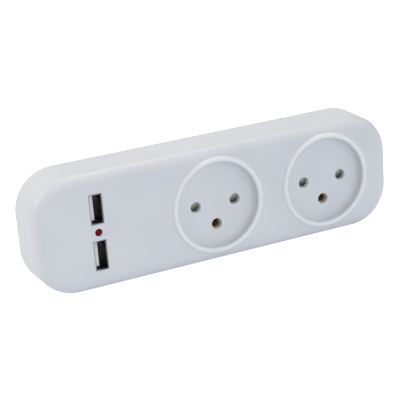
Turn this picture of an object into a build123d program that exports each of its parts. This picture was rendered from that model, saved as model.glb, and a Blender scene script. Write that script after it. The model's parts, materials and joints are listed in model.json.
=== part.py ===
from build123d import *
from math import cos, pi, radians, sin, tan
import os

# A wall adapter with two round-pin mains sockets, two USB ports and an indicator.
# It is drawn lying on its back: x to the right, y up the face, z out of the face towards the user.
# The origin is where the axis of the plug meets the plug's own face. Sizes are in millimetres.

# Housing outline
usb_end_margin = 28.6        # left end to the column of ports
usb_to_socket = 56.0         # column of ports to the left socket
socket_pitch = 54.0
socket_end_margin = 34.0     # right socket to the right end
side_margin = 5.0            # socket cup to the long sides
corner_radius = 18.6
wall = 2.2
draft = 1.5                  # degrees, away from the parting plane both ways
front_depth = 19.2           # parting plane to the face
rear_depth = 7.7             # parting plane to the back
front_edge = 5.3
back_edge = 6.0
inside_bevel = 2.4
parting_groove = 0.3
lip_height = 1.6
lip_gap = 0.15

# Socket recesses
recess_radius = 19.5
recess_depth = 2.85
rim_height = 1.0
rim_width = 2.2
rim_facets = 4
cup_wall = 1.8
floor_thickness = 2.2
pin_spacing = 19.0
earth_drop = 9.5

# Plug on the back
plug_play = 1.0              # the plug's boss inside a wall socket's recess
boss_height = 4.0
boss_edge = 1.0
pin_radius = 2.0
pin_length = 19.0
pin_tip = 1.2                # taper along the tip
pin_tip_step = 0.9           # and in from its side
pin_hole_play = 0.4
neck_step = 0.3              # the pin's neck in the housing is thinner by this
neck_gap = 0.05
collar_radius = 3.2
collar_height = 1.2

# Safety shutters
shutter_thickness = 3.4
shutter_play = 0.15
shutter_overlap = 0.6        # past the pin hole, up and down
shutter_end = 1.1            # past the pin hole, sideways
ramp_side_gap = 0.4
ramp_land = 0.6
ledge_room = 1.2             # left for the flattened spring at full travel
guide_width = 3.2
guide_bar = 1.4
retainer_thickness = 1.2
retainer_hole_play = 0.7
stake_width = 1.6
stake_length = 4.0
stake_gap = 0.1
stake_head = 0.6             # how far the flattened head stands out, sideways and back
spring_sheet = 0.3
spring_width = 2.4
spring_half_span = 12.4
spring_foot = 1.6
spring_crown = 1.4
spring_gap = 0.1

# Brass bars
sheet = 0.7
sleeve_radius = 2.0
sleeve_length = 10.8
sleeve_gap_angle = 30.0
sleeve_to_retainer = 0.45
earth_sleeve_gap = 0.3       # earth sleeve to the cup's floor, which no shutter covers
strip_width = 6.0
strip_rise = 2.0             # rear edge of the strip above the rear end of the sleeves
strip_lead = 3.0             # straight run beside a sleeve
bend_radius = 1.5
bar_clearance = 3.8          # neutral run above the line sleeve
tab_half_width = 3.0
tab_end = 3.2
bar_post = 4.0
bar_post_overlap = 2.0
slot_gap = 0.15
neutral_posts = (0.25, 0.56)  # places along the run, from one sleeve to the next
line_posts = (0.27, 0.49)
earth_posts = (0.3, 0.7)

# Screws
screw_core = 1.25
screw_length = 16.0
screw_head_radius = 2.75
screw_head = 2.0
screw_slot = 0.8
screw_slot_length = 3.4
pilot_gap = 0.05
screw_hole_gap = 0.45
counterbore_gap = 0.35
counterbore_depth = 3.4
screw_boss_radius = 3.25
screw_margin = 0.6           # counterbore to the rounded edge of the back
pillar_wall = 1.2
boss_sides = 8
screw_angle = 61.0

# USB ports and indicator
port_thickness = 5.7
port_width = 13.1
port_length = 14.0
port_offset = 10.25          # indicator to either port
port_corner = 0.5
port_sink = 0.3              # mouth behind the face
port_gap = 0.15
shell_sheet = 0.3
insulator_gap = 0.05
insulator_block = 3.4
tongue_sink = 2.6
tongue_inset = 0.45
tongue_thickness = 1.84
tongue_half_width = 5.55
contact_width = 1.0
contact_thickness = 0.2
contact_places = (-3.5, -1.0, 1.0, 3.5)
contact_tip = 0.8
lens_radius = 1.5
lens_proud = 0.6
lens_gap = 0.1
lens_facets = 3
flange_radius = 1.9
flange_height = 1.0
flange_gap = 0.1
lead_side = 0.5
lead_place = 1.27
lead_drop = 3.4

# Circuit board and what it carries
board_thickness = 1.6
board_half_width = 21.0
board_front_gap = 1.2
board_depth = 18.5
board_post_place = 14.0
board_post_wall = 1.7
board_post_width = 4.0
board_post_overlap = 2.0
core_width = 14.0
core_height = 12.0
core_thickness = 6.0
core_limb = 4.0
core_yoke = 2.5
winding_bulge = 2.8
winding_gap = 0.2
transformer_place = (-13.2, 8.5)  # up the board, and behind its front edge
bulk_radius = 4.0
bulk_length = 12.0
bulk_place = (13.6, 5.2)
output_radius = 3.15
output_length = 9.0
output_places = ((0.9, 4.6), (0.9, 12.4))
rectifier_size = (2.5, 4.7, 3.8)
rectifier_place = (13.6, 13.2)
chip_size = (1.5, 5.0, 4.0)
chip_place = (7.5, 14.6)
fuse_size = (7.0, 4.0, 8.0)
fuse_place = (18.4, 13.2)
wire_radius = 0.8
wire_overlap = 5.0           # length soldered along a strip

# Levels above the plug's face
back_z = boss_height
rear_floor_z = back_z + wall
parting_z = back_z + rear_depth
face_z = parting_z + front_depth
face_inside_z = face_z - wall
rim_z = face_z + rim_height
floor_z = face_z - recess_depth
cup_z = floor_z - floor_thickness
guide_depth = shutter_thickness + 2 * shutter_play
retainer_z = cup_z - guide_depth
retainer_back_z = retainer_z - retainer_thickness
sleeve_top_z = retainer_back_z - sleeve_to_retainer
sleeve_end_z = sleeve_top_z - sleeve_length
earth_sleeve_z = cup_z - earth_sleeve_gap
strip_z = sleeve_end_z + strip_rise
strip_front_z = strip_z + strip_width
collar_z = rear_floor_z + collar_height
tab_z = collar_z + sheet
screw_seat_z = back_z + counterbore_depth
screw_tip_z = screw_seat_z + screw_length
mouth_z = face_z - port_sink
port_back_z = mouth_z - port_length
board_front_z = face_inside_z - board_front_gap
board_back_z = board_front_z - board_depth
wire_z = strip_front_z + wire_radius

# Places seen from the front
left_end = -usb_to_socket - usb_end_margin
right_end = socket_pitch + socket_end_margin
body_length = right_end - left_end
body_shift = (left_end + right_end) / 2
cup_radius = recess_radius + cup_wall
body_height = 2 * (cup_radius + side_margin)
half_height = body_height / 2
socket_x = (0.0, socket_pitch)
usb_x = -usb_to_socket
half_spacing = pin_spacing / 2
boss_radius = recess_radius - plug_play
pin_hole_radius = pin_radius + pin_hole_play
head_room = screw_head_radius + counterbore_gap
neck_radius = pin_radius - neck_step
pin_places = {"neutral": (-half_spacing, 0.0), "line": (half_spacing, 0.0), "earth": (0.0, -earth_drop)}
board_x = usb_x + port_thickness / 2
board_face_x = board_x + board_thickness
core_window = core_width / 2 - core_limb

# Shutter window in its guide frame
shutter_half_width = half_spacing + pin_hole_radius + shutter_end
shutter_half_height = pin_hole_radius + shutter_overlap
shutter_travel = shutter_half_height + pin_hole_radius
window_half_width = shutter_half_width + shutter_play
window_bottom = -shutter_half_height - shutter_play
window_top = shutter_half_height + shutter_travel + ledge_room
frame_half_width = window_half_width + guide_width
frame_bottom = window_bottom - guide_bar
frame_top = window_top + guide_bar
frame_middle = (frame_bottom + frame_top) / 2
stake_x = window_half_width + guide_width / 2

# Bars: the strip leaves each sleeve at a tangent
sleeve_outer = sleeve_radius + sheet
sleeve_tangent = sleeve_radius + sheet / 2
neutral_run = sleeve_outer + bar_clearance
line_run = -earth_drop / 2
earth_run = -earth_drop - sleeve_tangent


def corner_screws(end, towards):
    """Two screw places in the rounded corners at one end of the housing."""
    reach = corner_radius - rear_depth * tan(radians(draft)) - back_edge - head_room - screw_margin
    x = end - towards * (corner_radius - reach * cos(radians(screw_angle)))
    y = half_height - corner_radius + reach * sin(radians(screw_angle))
    return [(x, y), (x, -y)]


screw_places = corner_screws(left_end, -1) + corner_screws(right_end, 1)


def prism(outline, bottom, top):
    """An upright solid with the given outline between two levels."""
    return Pos(0, 0, bottom) * extrude(outline, amount=top - bottom, dir=(0, 0, 1))


def disc(x, y, radius, bottom, top):
    return prism(Pos(x, y) * Circle(radius), bottom, top)


def block(x, y, width, height, bottom, top):
    return prism(Pos(x, y) * Rectangle(width, height), bottom, top)


# Front housing: one moulding with the face, socket cups, shutter guides and screw bosses
def body_outline(inset):
    outline = RectangleRounded(body_length - 2 * inset, body_height - 2 * inset, corner_radius - inset)
    return Pos(body_shift, 0) * outline


def housing_form(depth, edge):
    """The body's rounded outline drawn out with draft, with a rounded end, standing on z = 0."""
    form = extrude(body_outline(0), amount=depth, taper=draft)
    return fillet(form.edges().group_by(Axis.Z)[-1], edge)


def housing_cavity(depth):
    """The space inside one half of the housing, standing on z = 0."""
    inset = wall + depth * tan(radians(draft))
    cavity = extrude(body_outline(inset), amount=depth - wall)
    return chamfer(cavity.edges().group_by(Axis.Z)[-1], inside_bevel)


def rim_bead():
    """The rounded bead that stands round a recess, as a half round turned about the socket's axis."""
    half_width = rim_width / 2
    middle = recess_radius + half_width
    turns = [pi * step / rim_facets for step in range(rim_facets + 1)]
    crest = [(middle + half_width * cos(turn), face_z + rim_height * sin(turn)) for turn in turns]
    foot_z = face_z - wall / 2
    profile = Polygon(*crest, (recess_radius, foot_z), (recess_radius + rim_width, foot_z), align=None)
    return revolve(Plane.XZ * profile, axis=Axis.Z)


def front_housing():
    body = Pos(0, 0, parting_z) * (housing_form(front_depth, front_edge) - housing_cavity(front_depth))
    body -= prism(body_outline(wall / 2), parting_z, parting_z + lip_height + lip_gap)
    for x in socket_x:
        body += disc(x, 0, cup_radius, cup_z, face_z - wall / 2)
        body -= disc(x, 0, recess_radius, floor_z, rim_z)
        body += Pos(x, 0) * rim_bead()
    for x, y in screw_places:
        body += prism(Pos(x, y) * RegularPolygon(screw_boss_radius, boss_sides), parting_z, face_z - wall / 2)
        body -= disc(x, y, screw_core + pilot_gap, parting_z, screw_tip_z + pilot_gap)
    for x in socket_x:
        body += Pos(x, 0) * shutter_guide()
        for pin_x, pin_y in pin_places.values():
            body -= disc(x + pin_x, pin_y, pin_hole_radius, cup_z, floor_z)
    window = RectangleRounded(port_thickness + 2 * port_gap, port_width + 2 * port_gap, port_corner)
    for side in (1, -1):
        body -= prism(Pos(usb_x, side * port_offset) * window, face_inside_z, face_z)
    body -= disc(usb_x, 0, lens_radius + lens_gap, face_inside_z, face_z)
    return body


def shutter_guide():
    """A frame under the cup's floor that guides the shutter, with two stakes for the retainer."""
    frame = Pos(0, frame_middle) * Rectangle(2 * frame_half_width, frame_top - frame_bottom)
    frame -= Pos(0, (window_bottom + window_top) / 2) * Rectangle(2 * window_half_width,
                                                                  window_top - window_bottom)
    guide = prism(frame, retainer_z, cup_z)
    for side in (1, -1):
        x = side * stake_x
        guide += block(x, frame_middle, stake_width, stake_length, retainer_back_z, retainer_z)
        guide += block(x, frame_middle, stake_width + 2 * stake_head, stake_length + 2 * stake_head,
                       retainer_back_z - stake_head, retainer_back_z)
    return guide


# Rear housing: a shallow tub with the plug's round boss, screw pillars and slotted posts
def rear_housing():
    form = mirror(housing_form(rear_depth, back_edge), about=Plane.XY)
    form = chamfer(form.edges().group_by(Axis.Z)[-1], parting_groove)
    cavity = mirror(housing_cavity(rear_depth), about=Plane.XY)
    body = Pos(0, 0, parting_z) * (form - cavity)
    lip = body_outline(wall / 2 + lip_gap) - body_outline(wall + rear_depth * tan(radians(draft)))
    body += prism(lip, parting_z, parting_z + lip_height)
    boss = disc(0, 0, boss_radius, 0, back_z + wall / 2)
    body += chamfer(boss.edges().group_by(Axis.Z)[0], boss_edge)
    for x, y in pin_places.values():
        body -= disc(x, y, neck_radius + neck_gap, 0, rear_floor_z)
    for x, y in screw_places:
        pillar = RegularPolygon(head_room + pillar_wall, boss_sides)
        body += prism(Pos(x, y) * pillar, back_z + wall / 2, parting_z)
        body -= disc(x, y, screw_core + screw_hole_gap, screw_seat_z, parting_z)
        body -= disc(x, y, head_room, back_z, screw_seat_z)
    for x, y in bar_post_places():
        post = block(x, y, bar_post, bar_post, rear_floor_z - wall / 2, strip_z + bar_post_overlap)
        slot = block(x, y, bar_post, sheet + 2 * slot_gap, strip_z, strip_z + bar_post_overlap)
        body += post - slot
    slot_width = board_thickness + 2 * slot_gap
    board_middle = board_x + board_thickness / 2
    for side in (1, -1):
        y = side * board_post_place
        post = block(board_middle, y, slot_width + 2 * board_post_wall, board_post_width,
                     rear_floor_z - wall / 2, board_back_z + board_post_overlap)
        slot = block(board_middle, y, slot_width, board_post_width, board_back_z,
                     board_back_z + board_post_overlap)
        body += post - slot
    return body


def bar_post_places():
    runs = ((pin_places["neutral"][0], neutral_run, neutral_posts),
            (pin_places["line"][0], line_run, line_posts),
            (pin_places["earth"][0], earth_run, earth_posts))
    return [(start + share * socket_pitch, run) for start, run, shares in runs for share in shares]


# Screws: self-tapping, with a cross slot, up from the back
def housing_screws():
    head_z = screw_seat_z - screw_head
    slots = Rectangle(screw_slot_length, screw_slot) + Rectangle(screw_slot, screw_slot_length)
    screw = disc(0, 0, screw_head_radius, head_z, screw_seat_z)
    screw += disc(0, 0, screw_core, screw_seat_z, screw_tip_z)
    screw -= prism(slots, head_z, head_z + screw_slot)
    return Compound([Pos(x, y) * screw.solid() for x, y in screw_places])


# Brass bars: strip on edge, rolled into a split sleeve at each socket, with a tab for the plug's pin
def sleeve_outline(side, towards):
    far = 2 * sleeve_outer
    start = Vector(far * cos(radians(sleeve_gap_angle)), far * sin(radians(sleeve_gap_angle)))
    gap = Polygon((0, 0), (start.X, start.Y), (far, far), (0, far), align=None)
    ring = Circle(sleeve_outer) - Circle(sleeve_radius) - gap
    if towards < 0:
        ring = mirror(ring, about=Plane.YZ)
    if side < 0:
        ring = mirror(ring, about=Plane.XZ)
    return ring


def bar(pin, side, run, sleeve_top):
    """One bar. Side is where the strip touches its sleeves, run is the strip's height up the face."""
    x, y = pin_places[pin]
    far_x = x + socket_pitch
    start_y = y + side * sleeve_tangent
    step = abs(run - start_y)
    near = x + strip_lead
    away = far_x - strip_lead
    path = FilletPolyline((x, start_y), (near, start_y), (near + step, run), (away - step, run),
                          (away, start_y), (far_x, start_y), radius=bend_radius)
    body = prism(trace(path, line_width=sheet), strip_z, strip_front_z)
    for sleeve_x, towards in ((x, 1), (far_x, -1)):
        body += prism(Pos(sleeve_x, y) * sleeve_outline(side, towards), sleeve_end_z, sleeve_top)
    body += block(x + strip_lead / 2, start_y, strip_lead, sheet, collar_z, strip_z)
    inner = y - side * tab_end
    outer = y + side * sleeve_outer
    return body + block(x, (inner + outer) / 2, 2 * tab_half_width, abs(outer - inner), collar_z, tab_z)


# Plug pins: turned brass, seated on the boss, with a collar inside that is welded to the bar's tab
def plug_pin(pin):
    shank = disc(0, 0, pin_radius, -pin_length, 0)
    shank = chamfer(shank.edges().group_by(Axis.Z)[0], pin_tip, pin_tip_step)
    shank += disc(0, 0, neck_radius, 0, rear_floor_z)
    shank += disc(0, 0, collar_radius, rear_floor_z, collar_z)
    return Pos(*pin_places[pin]) * shank


# Shutter: a slider with a ramp under each pin hole, pushed down by a leaf spring
def shutter(x):
    top = cup_z - shutter_play
    bottom = top - shutter_thickness
    body = block(0, 0, 2 * shutter_half_width, 2 * shutter_half_height, bottom, top)
    ramp = Plane.YZ * Polygon((-shutter_half_height, bottom + ramp_land), (-shutter_half_height, top),
                              (ramp_land, top), align=None)
    width = 2 * (pin_hole_radius + ramp_side_gap)
    for side in (1, -1):
        body -= Pos(side * half_spacing - width / 2, 0, 0) * extrude(ramp, amount=width, dir=(1, 0, 0))
    return Pos(x, 0) * body


def shutter_spring(x):
    """A leaf folded into a shallow trough: its crown on the shutter, its feet under the ledge."""
    middle = (cup_z + retainer_z) / 2
    foot = window_top - spring_gap - spring_sheet / 2
    crown = shutter_half_height + spring_gap + spring_sheet / 2
    half = [(spring_crown, crown), (spring_half_span - spring_foot, foot), (spring_half_span, foot)]
    points = [(-along, up) for along, up in reversed(half)] + half
    leaf = trace(Polyline(*points), line_width=spring_sheet)
    return Pos(x, 0) * prism(leaf, middle - spring_width / 2, middle + spring_width / 2)


def shutter_retainer(x):
    outline = Pos(0, frame_middle) * Rectangle(2 * frame_half_width, frame_top - frame_bottom)
    for side in (1, -1):
        outline -= Pos(side * half_spacing, 0) * Circle(pin_radius + retainer_hole_play)
        outline -= Pos(side * stake_x, frame_middle) * Rectangle(stake_width + 2 * stake_gap,
                                                                 stake_length + 2 * stake_gap)
    return Pos(x, 0) * prism(outline, retainer_back_z, retainer_z)


# USB ports: folded steel shell, moulded tongue and four contacts
def usb_shell(y):
    outer = RectangleRounded(port_thickness, port_width, port_corner)
    inner = Rectangle(port_thickness - 2 * shell_sheet, port_width - 2 * shell_sheet)
    return prism(Pos(usb_x, y) * (outer - inner), port_back_z, mouth_z)


def tongue_face_x():
    return usb_x - port_thickness / 2 + shell_sheet + tongue_inset + tongue_thickness


def usb_insulator(y):
    room = 2 * (shell_sheet + insulator_gap)
    base = block(usb_x, y, port_thickness - room, port_width - room, port_back_z,
                 port_back_z + insulator_block)
    tongue = block(tongue_face_x() - tongue_thickness / 2, y, tongue_thickness, 2 * tongue_half_width,
                   port_back_z + insulator_block, mouth_z - tongue_sink)
    return base + tongue


def usb_contacts(y):
    x = tongue_face_x() + contact_thickness / 2
    strips = [block(x, y + place, contact_thickness, contact_width, port_back_z + insulator_block,
                    mouth_z - tongue_sink - contact_tip) for place in contact_places]
    return Compound([strip.solid() for strip in strips])


# Indicator: a red lens held by its flange behind the face, with two leads to the board
def indicator_lens():
    flange_z = face_inside_z - flange_gap
    dome_z = face_z + lens_proud - lens_radius
    turns = [pi / 2 * step / lens_facets for step in range(lens_facets + 1)]
    dome = [(lens_radius * cos(turn), dome_z + lens_radius * sin(turn)) for turn in turns]
    stem = [(0, flange_z - flange_height), (flange_radius, flange_z - flange_height),
            (flange_radius, flange_z), (lens_radius, flange_z)]
    return Pos(usb_x, 0) * revolve(Plane.XZ * Polygon(*stem, *dome, align=None), axis=Axis.Z)


def indicator_leads():
    top = face_inside_z - flange_gap - flange_height
    bottom = top - lead_drop
    leads = []
    for side in (1, -1):
        y = side * lead_place
        lead = block(usb_x, y, lead_side, lead_side, bottom, top)
        reach = board_x - usb_x
        lead += block(usb_x + reach / 2, y, reach, lead_side, bottom, bottom + lead_side)
        leads.append(lead.solid())
    return Compound(leads)


# Circuit board on edge beside the ports, with the charger's parts on its free side
def circuit_board():
    return block(board_x + board_thickness / 2, 0, board_thickness, 2 * board_half_width,
                 board_back_z, board_front_z)


def on_board(place):
    """A point on the free side of the board: up the board, and behind its front edge."""
    up, behind = place
    return Pos(board_face_x, up, board_front_z - behind)


def upright_can(radius, length):
    return extrude(Plane.YZ * Circle(radius), amount=length, dir=(1, 0, 0))


def transformer_core():
    outline = Rectangle(core_width, core_height)
    window_x = (core_limb + core_window) / 2
    for side in (1, -1):
        outline -= Pos(side * window_x, 0) * Rectangle(core_window, core_height - 2 * core_yoke)
    core = extrude(Plane.YZ * outline, amount=core_thickness, dir=(1, 0, 0))
    return on_board(transformer_place) * Pos(winding_bulge, 0, 0) * core


def transformer_winding():
    depth = core_thickness + 2 * winding_bulge
    width = core_limb + 2 * (core_window - winding_gap)
    height = core_height - 2 * (core_yoke + winding_gap)
    coil = RectangleRounded(depth, width, core_window - winding_gap)
    coil -= Rectangle(core_thickness + 2 * winding_gap, core_limb + 2 * winding_gap)
    turns = prism(coil, -height / 2, height / 2)
    return on_board(transformer_place) * Pos(depth / 2, 0, 0) * turns


def bulk_capacitor():
    return on_board(bulk_place) * upright_can(bulk_radius, bulk_length)


def output_capacitors():
    can = upright_can(output_radius, output_length)
    return Compound([on_board(place) * can.solid() for place in output_places])


def board_chip(size, place):
    return on_board(place) * Box(*size, align=(Align.MIN, Align.CENTER, Align.CENTER))


# Leads soldered along the front edge of a strip and run straight to the board
def mains_lead(start_x, run):
    lead = extrude(Plane.YZ * Circle(wire_radius), amount=start_x - board_face_x, dir=(1, 0, 0))
    return Pos(board_face_x, run, wire_z) * lead


def strip_start(pin, side, run):
    """Where the level run of a bar begins."""
    x, y = pin_places[pin]
    return x + strip_lead + abs(run - y - side * sleeve_tangent)


nodes = {
    "front_housing": front_housing(),
    "rear_housing": rear_housing(),
    "housing_screws": housing_screws(),
    "neutral_bar": bar("neutral", 1, neutral_run, sleeve_top_z),
    "line_bar": bar("line", -1, line_run, sleeve_top_z),
    "earth_bar": bar("earth", 1, earth_run, earth_sleeve_z),
    "circuit_board": circuit_board(),
    "indicator_lens": indicator_lens(),
    "indicator_leads": indicator_leads(),
    "transformer_core": transformer_core(),
    "transformer_winding": transformer_winding(),
    "bulk_capacitor": bulk_capacitor(),
    "output_capacitors": output_capacitors(),
    "bridge_rectifier": board_chip(rectifier_size, rectifier_place),
    "controller_chip": board_chip(chip_size, chip_place),
    "line_fuse": board_chip(fuse_size, fuse_place),
    "neutral_lead": mains_lead(strip_start("neutral", 1, neutral_run) + wire_overlap, neutral_run),
    "line_lead": mains_lead(strip_start("line", -1, line_run) + wire_overlap, line_run),
}
for pin in pin_places:
    nodes[pin + "_pin"] = plug_pin(pin)
for socket, x in zip(("left", "right"), socket_x):
    nodes[socket + "_shutter"] = shutter(x)
    nodes[socket + "_shutter_spring"] = shutter_spring(x)
    nodes[socket + "_shutter_retainer"] = shutter_retainer(x)
for port, y in (("upper", port_offset), ("lower", -port_offset)):
    nodes[port + "_usb_shell"] = usb_shell(y)
    nodes[port + "_usb_insulator"] = usb_insulator(y)
    nodes[port + "_usb_contacts"] = usb_contacts(y)

# Stood up on its long side, with the face towards -y
os.makedirs("parts", exist_ok=True)
for name, shape in nodes.items():
    export_step(Rot(90, 0, 0) * shape, "parts/" + name + ".step")
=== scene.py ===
import bmesh
import bpy
import json
import math
from mathutils import Matrix, Vector
from mathutils.geometry import delaunay_2d_cdt


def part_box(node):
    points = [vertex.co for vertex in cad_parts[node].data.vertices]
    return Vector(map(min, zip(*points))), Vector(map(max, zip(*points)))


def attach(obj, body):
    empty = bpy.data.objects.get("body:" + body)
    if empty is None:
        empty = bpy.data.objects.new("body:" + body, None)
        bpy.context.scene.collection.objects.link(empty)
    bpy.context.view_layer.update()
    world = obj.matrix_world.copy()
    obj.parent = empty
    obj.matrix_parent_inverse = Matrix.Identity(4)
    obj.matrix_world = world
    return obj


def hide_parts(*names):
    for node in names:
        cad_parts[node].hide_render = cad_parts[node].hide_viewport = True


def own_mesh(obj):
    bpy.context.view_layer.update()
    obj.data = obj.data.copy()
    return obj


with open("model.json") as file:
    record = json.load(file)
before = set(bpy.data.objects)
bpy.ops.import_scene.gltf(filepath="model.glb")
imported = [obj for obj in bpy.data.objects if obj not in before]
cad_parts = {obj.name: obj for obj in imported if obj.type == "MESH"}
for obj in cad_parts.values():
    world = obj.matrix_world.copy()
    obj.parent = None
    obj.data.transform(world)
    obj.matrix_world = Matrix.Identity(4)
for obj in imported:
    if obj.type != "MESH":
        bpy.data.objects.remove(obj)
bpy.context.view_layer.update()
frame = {"nodes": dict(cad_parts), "record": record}
nodes = frame["nodes"]

# Front housing
# One injection moulding in white ABS: drafted sides, a broad rounded edge and two beaded socket recesses.
# It keeps the solid's own inside. The outer skin is laid again from rim to rim, finely and with eased edges.
mm = 0.001
wall = 2.2
draft = math.radians(1.5)
corner_radius = 18.6
front_edge = 5.3
bead_height = 1.0
bead_width = 2.2
bead_foot = 0.45         # width of the soft foot outside the bead
bead_start = math.radians(20)         # how far round the bead its foot goes over into the crest
bead_steps = 18
foot_steps = 5
recess_radius = 19.5
recess_depth = 2.85
recess_corner = 0.4
recess_floor = 2.2       # thickness of the floor
hole_easing = 0.35
window_corner = 0.5
window_easing = 0.25
lens_hole_easing = 0.2
longest_step = 1.6       # between two points of a rim
same_place = 0.001       # points closer than this are one
crease_angle = math.radians(40)       # faces that meet more sharply than this keep a crease
edge_patch = 4.0         # how far in from the sides the lofted edge reaches
face_insets = (4.35, 4.7, 5.05, 5.4, 5.75, 6.6)       # rows of points from there on, where the edge ends
socket_steps = 144
grain_drift = 38.0       # slow changes of a plastic's tone, per metre
grain_spread = 0.16      # how much the grain breaks up the gloss
plastic_tone = (0.785, 0.795, 0.815, 1)
plastic_shade = (0.745, 0.76, 0.79, 1)
painted_highlight_tone = (0.93, 0.93, 0.95, 1)   # painted highlight: lighter along the crest of a bead
painted_shade_tone = (0.66, 0.67, 0.69, 1)     # painted shade: darker along the edge of a recess, where its wall begins


def box_of(name):
    """The two corners of a solid's box in millimetres."""
    return [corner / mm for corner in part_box(name)]


front_low, front_high = box_of("front_housing")
parting_y = front_high.y
face_y = front_low.y + bead_height
floor_y = face_y + recess_depth
body_x = (front_low.x + front_high.x) / 2
half_length = (front_high.x - front_low.x) / 2
half_height = (front_high.z - front_low.z) / 2
mounts = {mount["name"]: mount for mount in frame["record"]["mounts"]}
socket_x = [mounts[side + "_earth_hole"]["pos_m"][0] / mm for side in ("left", "right")]


def solid_copy(name):
    """A solid's mesh in millimetres, with its loose triangles joined."""
    bm = bmesh.new()
    bm.from_mesh(nodes[name].data)
    bm.transform(Matrix.Scale(1 / mm, 4))
    bmesh.ops.remove_doubles(bm, verts=bm.verts, dist=same_place)
    return bm


def peel(bm, flat_y, rim_levels):
    """Takes off the skin that holds the flat at flat_y, up to the rims that lie at the given depths."""
    def lies_at(item, level):
        return all(abs(vert.co.y - level) < same_place for vert in item.verts)

    rims = {edge for edge in bm.edges if any(lies_at(edge, level) for level in rim_levels)}
    waiting = [face for face in bm.faces if lies_at(face, flat_y)]
    skin = set(waiting)
    while waiting:
        for edge in waiting.pop().edges:
            if edge not in rims:
                fresh = [face for face in edge.link_faces if face not in skin]
                skin.update(fresh)
                waiting.extend(fresh)
    bmesh.ops.delete(bm, geom=[face for face in bm.faces if face in skin], context="FACES")


def open_rims(bm):
    """The open rims of a mesh, each as a list of vertices in order, with long edges divided."""
    for edge in [edge for edge in bm.edges if edge.is_boundary]:
        cuts = math.ceil(edge.calc_length() / longest_step) - 1
        if cuts:
            bmesh.ops.subdivide_edges(bm, edges=[edge], cuts=cuts)
    edges = dict.fromkeys(edge for edge in bm.edges if edge.is_boundary)
    rims = []
    while edges:
        rim = list(edges.popitem()[0].verts)
        following = True
        while following:
            following = [edge for edge in rim[-1].link_edges if edge in edges]
            if following:
                del edges[following[0]]
                rim.append(following[0].other_vert(rim[-1]))
        rims.append(rim[:-1])
    return rims


def outline_side(x, z, half_x, half_z, corner):
    """For a point in a rounded rectangle: the way out, and how deep inside the outline it lies."""
    over_x = abs(x) - half_x + corner
    over_z = abs(z) - half_z + corner
    if over_x > 0 and over_z > 0:
        reach = math.hypot(over_x, over_z)
        out = (over_x / reach, over_z / reach)
    else:
        reach = max(over_x, over_z)
        out = (1.0, 0.0) if over_x > over_z else (0.0, 1.0)
    return math.copysign(out[0], x), math.copysign(out[1], z), corner - reach


def true_rim(rim, corner=None):
    """Moves a rim's points onto the rounded rectangle or circle that it follows, and gives the ways out."""
    low_x, high_x = min(v.co.x for v in rim), max(v.co.x for v in rim)
    half_x = (high_x - low_x) / 2
    centre = Vector((low_x + half_x, (min(v.co.z for v in rim) + max(v.co.z for v in rim)) / 2))
    half_z = half_x if corner is None else max(v.co.z for v in rim) - centre.y
    ways = []
    for vert in rim:
        out_x, out_z, depth = outline_side(vert.co.x - centre.x, vert.co.z - centre.y, half_x, half_z,
                                           half_x if corner is None else corner)
        vert.co.x += out_x * depth
        vert.co.z += out_z * depth
        ways.append((out_x, out_z))
    return ways


def lace(bm, first, second):
    """Quads between two closed rings of as many vertices."""
    for step in range(len(first)):
        after = (step + 1) % len(first)
        bm.faces.new((first[step], first[after], second[after], second[step]))


def loft(bm, rings):
    """Quads from ring to ring."""
    for first, second in zip(rings, rings[1:]):
        lace(bm, first, second)


def carry_on(bm, rim, ways, steps):
    """Skin that goes on from a rim: each step is how far out of the rim, and the depth."""
    ring = rim
    for out, y in steps:
        points = [(v.co.x + out * way[0], y, v.co.z + out * way[1]) for v, way in zip(rim, ways)]
        following = [bm.verts.new(point) for point in points]
        lace(bm, ring, following)
        ring = following
    return ring


def within(x, z, loop):
    """Whether a point lies inside a closed loop of vertices, seen from the front."""
    crossings = 0
    for one, other in zip(loop, loop[1:] + loop[:1]):
        if (one.co.z > z) != (other.co.z > z):
            share = (z - one.co.z) / (other.co.z - one.co.z)
            crossings += x < one.co.x + share * (other.co.x - one.co.x)
    return crossings % 2 == 1


def patch(bm, rim, holes, spare=()):
    """Triangles between a rim and the holes in it, through any spare vertices."""
    verts = [vert for loop in (rim, *holes) for vert in loop] + list(spare)
    edges = []
    start = 0
    for loop in (rim, *holes):
        edges += [(start + step, start + (step + 1) % len(loop)) for step in range(len(loop))]
        start += len(loop)
    flat = [Vector((vert.co.x, vert.co.z)) for vert in verts]
    result = delaunay_2d_cdt(flat, edges, [], 1, 1e-6)
    for face in result[2]:
        corners = [verts[result[3][place][0]] for place in face]
        middle = sum((corner.co for corner in corners), Vector()) / 3
        if not any(within(middle.x, middle.z, hole) for hole in holes):
            bm.faces.new(corners)


def edge_profile(depth, radius, patch_inset, side_steps=5, round_steps=12):
    """The drafted side and its rounded edge: steps of how far in from the parting outline, and how high."""
    middle_high = depth - radius
    middle_in = radius / math.cos(draft) + middle_high * math.tan(draft)
    tangent_high = middle_high + radius * math.sin(draft)
    last_turn = math.acos((middle_in - patch_inset) / radius)
    side = [tangent_high * step / side_steps for step in range(1, side_steps + 1)]
    turns = [draft + (last_turn - draft) * step / round_steps for step in range(1, round_steps + 1)]
    rounded = [(middle_in - radius * math.cos(turn), middle_high + radius * math.sin(turn)) for turn in turns]
    return [(high * math.tan(draft), high) for high in side] + rounded


def edge_rise(inset, depth, radius):
    """How high the rounded edge or the flat stands at a given distance in from the parting outline."""
    middle_in = radius / math.cos(draft) + (depth - radius) * math.tan(draft)
    return depth - radius + math.sqrt(radius ** 2 - max(middle_in - inset, 0) ** 2)


def edge_rows(bm, rounds, insets, level, is_clear):
    """Rows of points where a rounded edge runs out into the flat, left out where something stands."""
    points = [(x - inset * way[0], z - inset * way[1]) for inset in insets for x, z, way in rounds]
    return [bm.verts.new((x, level(x, z), z)) for x, z in points if is_clear(x, z)]


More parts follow.
